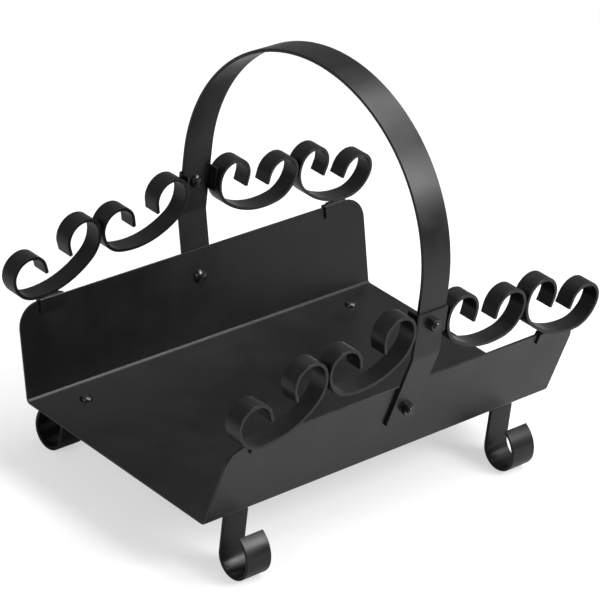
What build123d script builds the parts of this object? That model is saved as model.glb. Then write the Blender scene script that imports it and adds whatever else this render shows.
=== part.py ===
from build123d import *
import math
import os

# Log holder: a folded sheet tray on four curled feet, with an arched handle across it
# and a row of four C-scrolls along each side.
# Frame: millimetres, +Z up, X along the tray, Y across it, origin on the ground under the centre.

# Tray sheet
TRAY_LENGTH = 386.0
TRAY_FLOOR_WIDTH = 222.0
TRAY_WALL_SLANT = 82.0
TRAY_SHEET = 2.0
TRAY_BEND_RADIUS = 3.0
TRAY_CORNER_RADIUS = 20.0
WALL_FLARE = 15.0
TRAY_UNDERSIDE = 57.0

# Handle bar
HANDLE_WIDTH = 30.0
HANDLE_THICKNESS = 3.0
HANDLE_KNEE_RISE = 110.0
HANDLE_SPRING_Z = 225.0
HANDLE_BEND_RADIUS = 22.0
HANDLE_LEG_OVERLAP = 41.0
LEG_BOLT_BELOW_RIM = 24.0

# Brackets that join the handle to the scrolls
BRACKET_SHEET = 1.5
BRACKET_HEIGHT = 22.0
BRACKET_DEPTH = 12.0
BRACKET_SIDE_CLEARANCE = 0.3
BRACKET_BEND_RADIUS = 0.2
BRACKET_BOLT_Z = 197.0

# Scroll bars
SCROLL_WIDTH = 16.0
SCROLL_THICKNESS = 3.0
SCROLL_ROW_INSET = 4.5
SCROLL_CURL_OFFSET = 29.0
SCROLL_CURL_RADIUS = 16.0
SCROLL_DEPTH = 29.5
SCROLL_BOTTOM_RADIUS = 74.0
SCROLL_TIP_LENGTH = 8.0
OUTER_SCROLL_TILT = 20.0
INNER_SCROLL_TILT = 12.0
INNER_SCROLL_Z = 189.0
SCROLL_WELD_GAP = 1.5
BRACKET_WELD_GAP = 0.6

# Saddle clips that carry the end scrolls on the tray rims
CLIP_SHEET = 2.0
CLIP_LENGTH = 25.0
CLIP_LEG = 10.0
CLIP_BEND_RADIUS = 1.6
CLIP_INSET = 11.6
CLIP_SEAT_CLEARANCE = 0.3

# Feet
FOOT_WIDTH = 25.0
FOOT_THICKNESS = 3.0
FOOT_FROM_END = 43.0
FOOT_INSET = 9.0
FOOT_HOOK_RADIUS = 16.0
FOOT_END_RADIUS = 24.0
FOOT_END_ANGLE = 62.0
FOOT_FLANGE = 30.0
FOOT_BEND_RADIUS = 6.0

# Fasteners
BOLT_DIAMETER = 6.0
BOLT_HEAD_DIAMETER = 12.0
BOLT_HEAD_HEIGHT = 3.6
BOLT_END_PROUD = 2.0
NUT_ACROSS_FLATS = 10.0
NUT_HEIGHT = 5.0
HOLE_CLEARANCE = 0.6
FOOT_BOLT_DIAMETER = 6.0
FOOT_BOLT_HEAD_DIAMETER = 11.0
FOOT_BOLT_HEAD_HEIGHT = 3.3
FOOT_NUT_ACROSS_FLATS = 10.0
FOOT_NUT_HEIGHT = 5.0

# Weld beads
CURL_BEAD_HEIGHT = 9.0
CURL_BEAD_DEPTH = 13.0
BRACKET_BEAD_HEIGHT = 11.0
BRACKET_BEAD_DEPTH = 8.0
CLIP_BEAD_LENGTH = 20.0
CLIP_BEAD_DEPTH = 4.0
CLIP_BEAD_HEIGHT = 2.4

# Sizes worked out from the ones above
FLARE = math.radians(WALL_FLARE)
FLOOR_HALF_WIDTH = TRAY_FLOOR_WIDTH / 2
LEG_FOOT_Y = FLOOR_HALF_WIDTH + HANDLE_THICKNESS / 2 / math.cos(FLARE)
HANDLE_ARCH_RADIUS = LEG_FOOT_Y + HANDLE_KNEE_RISE * math.tan(FLARE)
SCROLL_ROW_Y = HANDLE_ARCH_RADIUS - SCROLL_ROW_INSET
BRACKET_HALF_WIDTH = HANDLE_WIDTH / 2 + BRACKET_SIDE_CLEARANCE + BRACKET_SHEET
BRACKET_OUTER_FACE = HANDLE_ARCH_RADIUS + HANDLE_THICKNESS / 2 + BRACKET_SHEET
FOOT_X = TRAY_LENGTH / 2 - FOOT_FROM_END
FOOT_STEM_Y = FLOOR_HALF_WIDTH - FOOT_INSET
CURL_END = SCROLL_CURL_RADIUS + SCROLL_THICKNESS / 2
BOLT_HOLE = BOLT_DIAMETER + HOLE_CLEARANCE
FOOT_BOLT_HOLE = FOOT_BOLT_DIAMETER + HOLE_CLEARANCE
SIDES = {"front": -1, "rear": 1}
ENDS = (-1, 1)

# Upright plane through the middle of the rear scroll row: x along the tray, y up
SCROLL_ROW = Plane(origin=(0, SCROLL_ROW_Y, 0), x_dir=(1, 0, 0), z_dir=(0, -1, 0))


def wall_plane(depth):
    """Plane in the rear wall, a depth in from its outer face: x along the tray, y up the slope."""
    inward = (0, -math.cos(FLARE), math.sin(FLARE))
    outer = Plane(origin=(0, FLOOR_HALF_WIDTH, TRAY_UNDERSIDE), x_dir=(1, 0, 0), z_dir=inward)
    return outer.offset(depth)


def slope_point(up, out):
    """Y and Z of a point up the rear wall's slope and outward from its outer face."""
    y = FLOOR_HALF_WIDTH + up * math.sin(FLARE) + out * math.cos(FLARE)
    z = TRAY_UNDERSIDE + up * math.cos(FLARE) - out * math.sin(FLARE)
    return y, z


def flat_bar(pieces, thickness, width, plane):
    """Flat bar whose middle line follows the given pieces in a plane, centred on that plane."""
    section = plane.location * trace(pieces, line_width=thickness)
    return extrude(section, amount=width / 2, both=True)


def to_side(shape, side):
    """The rear shape itself, or its mirror image for the front."""
    return shape if SIDES[side] > 0 else mirror(shape, about=Plane.XZ)


def seat(spot, direction, side="rear"):
    """Location of a bolt: its Z axis points along the bolt, outward from its head."""
    sign = SIDES[side]
    origin = (spot[0], sign * spot[1], spot[2])
    return Plane(origin=origin, x_dir=(1, 0, 0), z_dir=(0, sign * direction[1], direction[2])).location


def bracket_bolt_seat(side):
    """Seat on the handle's inner face, at the bracket."""
    inner = HANDLE_ARCH_RADIUS - HANDLE_THICKNESS / 2
    return seat((0, inner, BRACKET_BOLT_Z), (0, 1, 0), side)


def leg_bolt_seat(side):
    """Seat on the wall's inner face, at the handle's leg."""
    y, z = slope_point(TRAY_WALL_SLANT - LEG_BOLT_BELOW_RIM, -TRAY_SHEET)
    return seat((0, y, z), (0, math.cos(FLARE), -math.sin(FLARE)), side)


def foot_bolt_seat(x_sign, side):
    """Seat on the floor's upper face, over a foot's flange."""
    y = FOOT_STEM_Y - FOOT_FLANGE / 2
    return seat((x_sign * FOOT_X, y, TRAY_UNDERSIDE + TRAY_SHEET), (0, 0, -1), side)


def drill(shape, place, diameter):
    """A shape with a round hole centred on a place."""
    return shape - place * Cylinder(diameter / 2, 2 * BOLT_HEAD_DIAMETER)


# Tray

def tray():
    """Floor and two leaning walls of one folded sheet, with rounded wall corners and bolt holes."""
    middle = TRAY_SHEET / 2
    fold_y = FLOOR_HALF_WIDTH - middle * math.tan((math.pi / 2 - FLARE) / 2)
    fold_z = TRAY_UNDERSIDE + middle
    rim_y, rim_z = slope_point(TRAY_WALL_SLANT, -middle)
    corners = [(-rim_y, rim_z), (-fold_y, fold_z), (fold_y, fold_z), (rim_y, rim_z)]
    line = FilletPolyline(*corners, radius=TRAY_BEND_RADIUS + middle)
    body = flat_bar(line, TRAY_SHEET, TRAY_LENGTH, Plane.YZ)
    rim_corners = body.edges().filter_by(lambda e: abs(e.length - TRAY_SHEET) < 0.01)
    rim_corners = rim_corners.filter_by(lambda e: e.center().Z > TRAY_UNDERSIDE + TRAY_WALL_SLANT / 2)
    body = fillet(rim_corners, TRAY_CORNER_RADIUS)
    for side in SIDES:
        body = drill(body, leg_bolt_seat(side), BOLT_HOLE)
        for x_sign in ENDS:
            body = drill(body, foot_bolt_seat(x_sign, side), FOOT_BOLT_HOLE)
    return body


# Handle

def handle():
    """Arched flat bar with an upright and a leaning leg at each end."""
    out = HANDLE_THICKNESS / 2
    end = slope_point(TRAY_WALL_SLANT - HANDLE_LEG_OVERLAP, out)
    knee = (HANDLE_ARCH_RADIUS, TRAY_UNDERSIDE + HANDLE_KNEE_RISE)
    spring = (HANDLE_ARCH_RADIUS, HANDLE_SPRING_Z)
    leg = FilletPolyline(end, knee, spring, radius=HANDLE_BEND_RADIUS)
    arch = CenterArc((0, HANDLE_SPRING_Z), HANDLE_ARCH_RADIUS, 0, 180)
    other_leg = mirror(leg, about=Plane.YZ)
    bar = flat_bar([leg, arch, other_leg], HANDLE_THICKNESS, HANDLE_WIDTH, Plane.YZ)
    for side in SIDES:
        bar = drill(bar, leg_bolt_seat(side), BOLT_HOLE)
        bar = drill(bar, bracket_bolt_seat(side), BOLT_HOLE)
    return bar


# Brackets

def bracket(side):
    """Folded channel: a web on the handle's outer face and a flange along each edge of the bar."""
    middle = BRACKET_SHEET / 2
    x = BRACKET_HALF_WIDTH - middle
    web = BRACKET_OUTER_FACE - middle
    back = BRACKET_OUTER_FACE - BRACKET_DEPTH
    corners = [(-x, back), (-x, web), (x, web), (x, back)]
    line = FilletPolyline(*corners, radius=BRACKET_BEND_RADIUS + middle)
    level = Plane(origin=(0, 0, BRACKET_BOLT_Z))
    channel = flat_bar(line, BRACKET_SHEET, BRACKET_HEIGHT, level)
    return drill(to_side(channel, side), bracket_bolt_seat(side), BOLT_HOLE)


# Scrolls

def scroll_line():
    """Middle line of one C-scroll in its own x and y, open at the top."""
    half_width = SCROLL_CURL_OFFSET + SCROLL_CURL_RADIUS
    rise = SCROLL_BOTTOM_RADIUS - SCROLL_DEPTH
    over = SCROLL_BOTTOM_RADIUS ** 2 - half_width ** 2 - rise ** 2
    side_radius = over / (2 * (SCROLL_BOTTOM_RADIUS - half_width))
    side_x = half_width - side_radius
    swing = math.degrees(math.atan2(side_x, rise))
    tip_x = SCROLL_CURL_OFFSET - SCROLL_CURL_RADIUS
    pieces = [CenterArc((0, rise), SCROLL_BOTTOM_RADIUS, 270 - swing, 2 * swing)]
    right = [
        CenterArc((side_x, 0), side_radius, 270 + swing, 90 - swing),
        CenterArc((SCROLL_CURL_OFFSET, 0), SCROLL_CURL_RADIUS, 0, 180),
        Line((tip_x, 0), (tip_x, -SCROLL_TIP_LENGTH)),
    ]
    for piece in right:
        pieces.append(piece)
        pieces.append(mirror(piece, about=Plane.YZ))
    return pieces


def clip_top_z():
    """Height of a clip's highest line."""
    up = TRAY_WALL_SLANT + CLIP_SHEET - CLIP_BEND_RADIUS
    inward = TRAY_SHEET + CLIP_SHEET - CLIP_BEND_RADIUS
    return slope_point(up, -inward)[1] + CLIP_BEND_RADIUS


def scroll_places():
    """Centre x, centre z and tilt of the four scrolls of a row, from -X to +X."""
    inner_tilt = math.radians(INNER_SCROLL_TILT)
    outer_tilt = math.radians(OUTER_SCROLL_TILT)
    inner_half = SCROLL_CURL_OFFSET * math.cos(inner_tilt) + CURL_END
    outer_half = SCROLL_CURL_OFFSET * math.cos(outer_tilt) + CURL_END
    inner_x = BRACKET_HALF_WIDTH + BRACKET_WELD_GAP + inner_half
    outer_x = inner_x + inner_half + SCROLL_WELD_GAP + outer_half
    rise = (SCROLL_BOTTOM_RADIUS - SCROLL_DEPTH) * math.cos(outer_tilt)
    below = SCROLL_BOTTOM_RADIUS + SCROLL_THICKNESS / 2 - rise
    outer_z = clip_top_z() + CLIP_SEAT_CLEARANCE + below
    return [
        (-outer_x, outer_z, OUTER_SCROLL_TILT),
        (-inner_x, INNER_SCROLL_Z, INNER_SCROLL_TILT),
        (inner_x, INNER_SCROLL_Z, -INNER_SCROLL_TILT),
        (outer_x, outer_z, -OUTER_SCROLL_TILT),
    ]


def clip_x():
    """Place along the tray of the +X clips, inboard of the end scroll's lowest point."""
    lowest = (SCROLL_BOTTOM_RADIUS - SCROLL_DEPTH) * math.sin(math.radians(OUTER_SCROLL_TILT))
    return scroll_places()[3][0] + lowest - CLIP_INSET


def scroll_row():
    """The four scrolls of the rear row, each turned by its own tilt."""
    bars = []
    for x, z, tilt in scroll_places():
        plane = Plane(SCROLL_ROW.location * Location((x, z, 0), (0, 0, tilt)))
        bars.append(flat_bar(scroll_line(), SCROLL_THICKNESS, SCROLL_WIDTH, plane))
    return bars


# Clips

def clip(x_sign):
    """Saddle of folded strip over the rear rim, under an end scroll."""
    outer = Box(CLIP_LENGTH, CLIP_LEG + CLIP_SHEET, TRAY_SHEET + 2 * CLIP_SHEET)
    outer = fillet(outer.edges().filter_by(Axis.X).group_by(Axis.Y)[-1], CLIP_BEND_RADIUS)
    slot = Location((0, -CLIP_SHEET / 2, 0)) * Box(CLIP_LENGTH, CLIP_LEG, TRAY_SHEET)
    middle = TRAY_WALL_SLANT + (CLIP_SHEET - CLIP_LEG) / 2
    place = wall_plane(TRAY_SHEET / 2).location * Location((x_sign * clip_x(), middle, 0))
    return place * (outer - slot)


# Feet

def foot(x_sign, side):
    """Flat bar from a flange under the floor, down its stem and round an outward curl."""
    middle = FOOT_THICKNESS / 2
    y = FOOT_STEM_Y - middle
    flange_z = TRAY_UNDERSIDE - middle
    hook_z = FOOT_HOOK_RADIUS + middle
    corners = [(FOOT_STEM_Y - FOOT_FLANGE, flange_z), (y, flange_z), (y, hook_z)]
    stem = FilletPolyline(*corners, radius=FOOT_BEND_RADIUS + middle)
    hook = CenterArc((y + FOOT_HOOK_RADIUS, hook_z), FOOT_HOOK_RADIUS, 180, 180)
    end_y = y + 2 * FOOT_HOOK_RADIUS - FOOT_END_RADIUS
    end = CenterArc((end_y, hook_z), FOOT_END_RADIUS, 0, FOOT_END_ANGLE)
    plane = Plane(origin=(x_sign * FOOT_X, 0, 0), x_dir=(0, 1, 0), z_dir=(1, 0, 0))
    bar = flat_bar([stem, hook, end], FOOT_THICKNESS, FOOT_WIDTH, plane)
    return drill(to_side(bar, side), foot_bolt_seat(x_sign, side), FOOT_BOLT_HOLE)


# Fasteners

def dome_bolt(diameter, head_diameter, head_height, length):
    """Round-headed bolt: shank up +Z from the origin, domed head below it."""
    shank = Pos(0, 0, length / 2) * Cylinder(diameter / 2, length)
    shank = chamfer(shank.edges().group_by(Axis.Z)[-1], 0.12 * diameter)
    head = Pos(0, 0, -head_height / 2) * Cylinder(head_diameter / 2, head_height)
    head = fillet(head.edges().group_by(Axis.Z)[0], 0.8 * head_height)
    return shank + head


def hex_nut(across_flats, height, bore):
    """Hexagon nut with chamfered corners, standing on the origin."""
    radius = across_flats / math.sqrt(3)
    block = extrude(RegularPolygon(radius, 6), amount=height)
    crown = Pos(0, 0, height / 2) * Cylinder(radius, height)
    crown = chamfer(crown.edges().group_by(Axis.Z)[-1], 0.11 * radius)
    return (block & crown) - Cylinder(bore / 2, 3 * height)


def large_fastener(place, grip):
    """Bolt and nut that clamp a stack of the given thickness."""
    length = grip + NUT_HEIGHT + BOLT_END_PROUD
    bolt = place * dome_bolt(BOLT_DIAMETER, BOLT_HEAD_DIAMETER, BOLT_HEAD_HEIGHT, length)
    nut = place * Pos(0, 0, grip) * hex_nut(NUT_ACROSS_FLATS, NUT_HEIGHT, BOLT_HOLE)
    return bolt, nut


def small_fastener(place, grip):
    """Foot bolt and nut that clamp the floor and a foot's flange."""
    length = grip + FOOT_NUT_HEIGHT + BOLT_END_PROUD
    bolt = place * dome_bolt(FOOT_BOLT_DIAMETER, FOOT_BOLT_HEAD_DIAMETER, FOOT_BOLT_HEAD_HEIGHT, length)
    nut = place * Pos(0, 0, grip) * hex_nut(FOOT_NUT_ACROSS_FLATS, FOOT_NUT_HEIGHT, FOOT_BOLT_HOLE)
    return bolt, nut


# Weld beads: each fills the gap between the pieces that it joins

def nearest(shape, x, z):
    """The piece of a cut block whose centre lies nearest to a place in the scroll row."""
    return min(shape.solids(), key=lambda s: math.hypot(s.center().X - x, s.center().Z - z))


def curl_bead(x_sign, bars):
    """Bead between the curls of an end scroll and of the scroll beside it."""
    inner_x = scroll_places()[2][0]
    tilt = math.radians(INNER_SCROLL_TILT)
    x = x_sign * (inner_x + SCROLL_CURL_OFFSET * math.cos(tilt) + CURL_END + SCROLL_WELD_GAP / 2)
    z = INNER_SCROLL_Z - SCROLL_CURL_OFFSET * math.sin(tilt)
    block = Pos(x, SCROLL_ROW_Y, z) * Box(CURL_END, CURL_BEAD_DEPTH, CURL_BEAD_HEIGHT)
    return nearest(block - bars[0] - bars[1], x, z)


def bracket_bead(x_sign, bar, channel):
    """Bead between a bracket flange and the scroll beside it."""
    x = x_sign * (BRACKET_HALF_WIDTH + BRACKET_WELD_GAP / 2)
    z = INNER_SCROLL_Z + SCROLL_CURL_OFFSET * math.sin(math.radians(INNER_SCROLL_TILT))
    y = BRACKET_OUTER_FACE - BRACKET_DEPTH / 2
    block = Pos(x, y, z) * Box(3 * BRACKET_SHEET, BRACKET_BEAD_DEPTH, BRACKET_BEAD_HEIGHT)
    return nearest(block - channel - bar, x, z)


def clip_bead(x_sign, bar, saddle):
    """Bead between an end scroll and its clip."""
    y, _ = slope_point(TRAY_WALL_SLANT, -TRAY_SHEET / 2)
    x = x_sign * clip_x()
    z = clip_top_z()
    block = Pos(x, y, z) * Box(CLIP_BEAD_LENGTH, CLIP_BEAD_DEPTH, CLIP_BEAD_HEIGHT)
    return nearest(block - saddle - bar, x, z)


def add_side(nodes, side, bars, saddles):
    """Add the scrolls, clips, bracket, feet and large fasteners of one side."""
    for number, bar in enumerate(bars, start=1):
        nodes[f"scroll_{side}_{number}"] = to_side(bar, side)
    for number, saddle in enumerate(saddles, start=1):
        nodes[f"clip_{side}_{number}"] = to_side(saddle, side)
    nodes[f"bracket_{side}"] = bracket(side)
    for number, x_sign in enumerate(ENDS, start=1):
        nodes[f"foot_{side}_{number}"] = foot(x_sign, side)
    bolt, nut = large_fastener(bracket_bolt_seat(side), HANDLE_THICKNESS + BRACKET_SHEET)
    nodes[f"bracket_bolt_{side}"] = bolt
    nodes[f"bracket_nut_{side}"] = nut
    bolt, nut = large_fastener(leg_bolt_seat(side), TRAY_SHEET + HANDLE_THICKNESS)
    nodes[f"leg_bolt_{side}"] = bolt
    nodes[f"leg_nut_{side}"] = nut


def add_foot_fasteners(nodes):
    """Add the four foot bolts and their nuts as two groups."""
    bolts = []
    nuts = []
    for side in SIDES:
        for x_sign in ENDS:
            bolt, nut = small_fastener(foot_bolt_seat(x_sign, side), TRAY_SHEET + FOOT_THICKNESS)
            bolts.append(bolt)
            nuts.append(nut)
    nodes["foot_bolts"] = Compound(bolts)
    nodes["foot_nuts"] = Compound(nuts)


def add_beads(nodes, bars, saddles):
    """Add the weld beads as three groups."""
    channel = bracket("rear")
    groups = {
        "weld_curls": [curl_bead(-1, bars[:2]), curl_bead(1, bars[2:])],
        "weld_brackets": [bracket_bead(-1, bars[1], channel), bracket_bead(1, bars[2], channel)],
        "weld_clips": [clip_bead(-1, bars[0], saddles[0]), clip_bead(1, bars[3], saddles[1])],
    }
    for name, beads in groups.items():
        nodes[name] = Compound([to_side(bead, side) for side in SIDES for bead in beads])


def build_nodes():
    """Every node of the object by its name."""
    bars = scroll_row()
    saddles = [clip(x_sign) for x_sign in ENDS]
    nodes = {"tray": tray(), "handle": handle()}
    for side in SIDES:
        add_side(nodes, side, bars, saddles)
    add_foot_fasteners(nodes)
    add_beads(nodes, bars, saddles)
    return nodes


os.makedirs("parts", exist_ok=True)
for node_name, node in build_nodes().items():
    export_step(node, f"parts/{node_name}.step")
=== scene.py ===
"""Looks of the log holder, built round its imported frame.

Lengths are in metres. X runs along the tray, Y across it from wall to wall and Z up, with the
origin on the ground under the tray's middle.
"""

from __future__ import annotations

import logging
import math
from collections.abc import Callable, Sequence
from dataclasses import dataclass, field
from enum import Enum

import bpy
from bpy.types import Material, MeshEdge, MeshPolygon, Node, NodeSocket, NodeTree, Object, World
from mathutils import Matrix, Vector

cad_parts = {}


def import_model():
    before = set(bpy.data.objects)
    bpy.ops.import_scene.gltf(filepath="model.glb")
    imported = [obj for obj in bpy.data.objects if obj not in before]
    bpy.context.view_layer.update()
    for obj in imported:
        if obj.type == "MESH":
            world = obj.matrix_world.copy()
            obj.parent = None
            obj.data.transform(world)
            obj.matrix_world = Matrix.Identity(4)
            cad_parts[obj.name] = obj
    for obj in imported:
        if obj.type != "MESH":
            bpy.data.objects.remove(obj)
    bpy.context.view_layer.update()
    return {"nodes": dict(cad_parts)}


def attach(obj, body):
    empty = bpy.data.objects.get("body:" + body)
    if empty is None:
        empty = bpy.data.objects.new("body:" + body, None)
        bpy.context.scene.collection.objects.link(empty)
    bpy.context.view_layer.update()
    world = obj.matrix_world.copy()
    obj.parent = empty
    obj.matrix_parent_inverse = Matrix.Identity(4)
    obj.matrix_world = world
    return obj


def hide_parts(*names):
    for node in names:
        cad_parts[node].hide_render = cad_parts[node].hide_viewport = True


LOG = logging.getLogger("log_holder")
BODY = "root"
ROUND_SIDES = 48
MERGE_GAP = 0.00001
NEAR = 0.0001

Point = tuple[float, float, float]
Colour = tuple[float, float, float, float]


class Side(Enum):
    """The two long sides of the tray."""

    FRONT = "front"
    REAR = "rear"

    @property
    def sign(self) -> int:
        """Sign of Y on this side."""
        return -1 if self is Side.FRONT else 1


# Side, number and sign of X at the tray's four corners
CORNERS = [(side, number, sign) for side in Side for number, sign in ((1, -1), (2, 1))]


class Slot(Enum):
    """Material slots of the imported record."""

    SHEET = "sheet"
    BAR = "bar"
    FASTENERS = "fasteners"
    WELDS = "welds"


# Small helpers for modelling with operators


def only(piece: Object) -> None:
    """Select one object alone and make it active, in object mode.

    Args:
        piece: The object to work on.
    """
    if bpy.context.object and bpy.context.object.mode != "OBJECT":
        bpy.ops.object.mode_set(mode="OBJECT")
    bpy.ops.object.select_all(action="DESELECT")
    piece.select_set(True)
    bpy.context.view_layer.objects.active = piece


def select_parts(
    piece: Object, kind: str, chosen: Callable[[MeshEdge | MeshPolygon], bool]
) -> None:
    """Enter edit mode with the chosen edges or faces of a piece selected.

    Args:
        piece: The object to edit.
        kind: What is selected: EDGE or FACE.
        chosen: Test of one edge or face.
    """
    only(piece)
    bpy.ops.object.mode_set(mode="EDIT")
    bpy.ops.mesh.select_mode(type=kind)
    bpy.ops.mesh.select_all(action="DESELECT")
    bpy.ops.object.mode_set(mode="OBJECT")
    for part in piece.data.edges if kind == "EDGE" else piece.data.polygons:
        part.select = chosen(part)
    bpy.ops.object.mode_set(mode="EDIT")
    bpy.ops.mesh.select_mode(type=kind)


def finish_edit(piece: Object) -> None:
    """Merge doubles, turn the faces outward and leave edit mode.

    Args:
        piece: The edited object.
    """
    only(piece)
    bpy.ops.object.mode_set(mode="EDIT")
    bpy.ops.mesh.select_all(action="SELECT")
    bpy.ops.mesh.remove_doubles(threshold=MERGE_GAP)
    bpy.ops.mesh.normals_make_consistent(inside=False)
    bpy.ops.object.mode_set(mode="OBJECT")


def place(piece: Object, matrix: Matrix) -> None:
    """Move a piece and bake its place into its mesh.

    Args:
        piece: The object to place.
        matrix: Where its own frame goes.
    """
    only(piece)
    piece.matrix_world = matrix
    bpy.ops.object.transform_apply(location=True, rotation=True, scale=True)


def add_shape(operator: Callable, **settings: float | str | Point) -> Object:
    """Add a primitive with nothing else selected.

    Args:
        operator: The operator that adds it.
        **settings: The operator's settings.

    Returns:
        The new object.
    """
    bpy.ops.object.select_all(action="DESELECT")
    operator(**settings)
    return bpy.context.object


def copy_piece(piece: Object, name: str, matrix: Matrix) -> Object:
    """Copy a piece with its own mesh, placed by a matrix.

    Args:
        piece: The object to copy.
        name: Name of the copy.
        matrix: Where the copy goes; a mirror is allowed.

    Returns:
        The placed copy.
    """
    only(piece)
    bpy.ops.object.duplicate(linked=False)
    twin = bpy.context.object
    twin.name = name
    place(twin, matrix)
    if matrix.determinant() < 0:
        finish_edit(twin)
    return twin


def apply_modifier(piece: Object, kind: str, **settings: float | str | Object) -> None:
    """Add one modifier with its settings and apply it.

    Args:
        piece: The object to change.
        kind: Blender's name of the modifier.
        **settings: Values set on the modifier.
    """
    only(piece)
    modifier = piece.modifiers.new(kind.title(), kind)
    for key, value in settings.items():
        setattr(modifier, key, value)
    bpy.ops.object.modifier_apply(modifier=modifier.name)


def soften_edges(piece: Object, width: float, sharpest: float = 38) -> None:
    """Round the edges of a piece that are sharper than an angle in degrees."""
    apply_modifier(
        piece, "BEVEL", width=width, segments=2, limit_method="ANGLE",
        angle_limit=math.radians(sharpest), use_clamp_overlap=True,
    )


def smooth(piece: Object, degrees: float = 35) -> None:
    """Shade a piece smooth except across edges sharper than an angle."""
    only(piece)
    bpy.ops.object.shade_smooth_by_angle(angle=math.radians(degrees))


def bevel_edges(
    piece: Object, chosen: Callable[[Vector, Vector], bool], width: float, segments: int
) -> None:
    """Round the edges whose two ends pass a test.

    Args:
        piece: The object to shape.
        chosen: Test of an edge's two ends.
        width: Distance from the edge to the start of the rounding.
        segments: Faces across the rounding.
    """
    def passes(edge: MeshEdge) -> bool:
        """Put the ends of one edge to the test."""
        return chosen(*(piece.data.vertices[i].co for i in edge.vertices))

    select_parts(piece, "EDGE", passes)
    bpy.ops.mesh.bevel(offset=width, segments=segments, affect="EDGES")
    bpy.ops.object.mode_set(mode="OBJECT")


def cut_with(piece: Object, tool: Object, operation: str) -> None:
    """Take a solid from a piece, or keep only what it holds, and throw that solid away."""
    apply_modifier(piece, "BOOLEAN", operation=operation, object=tool, solver="EXACT")
    bpy.data.objects.remove(tool)


def cut_hole(piece: Object, seat: Matrix, radius: float, depth: float = 0.03) -> None:
    """Drill a round hole through a piece.

    Args:
        piece: The object to drill.
        seat: Place whose Z axis is the hole's axis.
        radius: Radius of the hole.
        depth: Length of the drill.
    """
    drill = add_shape(
        bpy.ops.mesh.primitive_cylinder_add, vertices=ROUND_SIDES, radius=radius, depth=depth
    )
    place(drill, seat)
    cut_with(piece, drill, "DIFFERENCE")


def add_block(size: Point, centre: Point) -> Object:
    """Add a block to be shaped.

    Args:
        size: Its size along X, Y and Z.
        centre: Its centre.

    Returns:
        The block, with its place in its mesh.
    """
    block = add_shape(bpy.ops.mesh.primitive_cube_add, size=1.0)
    place(block, Matrix.Translation(Vector(centre)) @ Matrix.Diagonal((*size, 1)))
    return block


def frame_matrix(origin: Point, x_axis: Point, z_axis: Point) -> Matrix:
    """Matrix of a frame from its origin, X axis and Z axis.

    Args:
        origin: Where the frame sits.
        x_axis: Direction of its X axis.
        z_axis: Direction of its Z axis.

    Returns:
        The frame as a matrix.
    """
    x, z = Vector(x_axis).normalized(), Vector(z_axis).normalized()
    turn = Matrix((x, z.cross(x), z)).transposed().to_4x4()
    return Matrix.Translation(Vector(origin)) @ turn


# Plane across the tray: its x is Y, its y is Z and its normal is X
ACROSS = frame_matrix((0, 0, 0), (0, 1, 0), (1, 0, 0))
MIRROR_Y = Matrix.Diagonal((1, -1, 1, 1))

# Shader nodes. The colour sockets of a Mix node share their names, so they go by number.

VECTOR = "NodeSocketVector"
FIRST_COLOUR, SECOND_COLOUR, MIXED_COLOUR = 6, 7, 2


def empty_tree(owner: Material | World) -> NodeTree:
    """Give a material or a world an empty node tree.

    Args:
        owner: The material or world.

    Returns:
        Its node tree.
    """
    owner.use_nodes = True
    owner.node_tree.nodes.clear()
    return owner.node_tree


def add_node(
    tree: NodeTree, kind: str, inputs: dict[str | int, NodeSocket | float | Colour],
    **settings: int | str | NodeTree,
) -> Node:
    """Add a node, set it up and feed its inputs.

    Args:
        tree: The node tree.
        kind: Type of the node, without "ShaderNode" before it.
        inputs: What each input gets: a socket to join, or a plain value.
        **settings: The node's own settings.

    Returns:
        The new node.
    """
    node = tree.nodes.new(f"ShaderNode{kind}")
    for key, value in settings.items():
        setattr(node, key, value)
    for name, source in inputs.items():
        if isinstance(source, NodeSocket):
            tree.links.new(source, node.inputs[name])
        else:
            node.inputs[name].default_value = source
    return node


def ramp(
    tree: NodeTree, source: NodeSocket, start: float, stop: float, curve: str = "LINEAR"
) -> NodeSocket:
    """Stretch values so that start becomes 0 and stop becomes 1, along one of Blender's curves."""
    limits = {"Value": source, "From Min": start, "From Max": stop}
    return add_node(tree, "MapRange", limits, interpolation_type=curve).outputs["Result"]


def multiply(tree: NodeTree, first: NodeSocket, second: NodeSocket | float) -> NodeSocket:
    """Multiply a socket by another one or by a plain value."""
    node = add_node(tree, "Math", {0: first, 1: second}, operation="MULTIPLY")
    return node.outputs["Value"]


def mix_colours(
    tree: NodeTree, share: NodeSocket, first: NodeSocket | Colour, second: Colour
) -> NodeSocket:
    """Mix two colours, with the second one's share given by a socket."""
    inputs = {"Factor": share, FIRST_COLOUR: first, SECOND_COLOUR: second}
    return add_node(tree, "Mix", inputs, data_type="RGBA").outputs[MIXED_COLOUR]


@dataclass(frozen=True)
class Socket:
    """One input or output of a shader group."""

    name: str
    default: float | None = None
    kind: str = "NodeSocketFloat"
    way: str = "INPUT"


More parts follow.
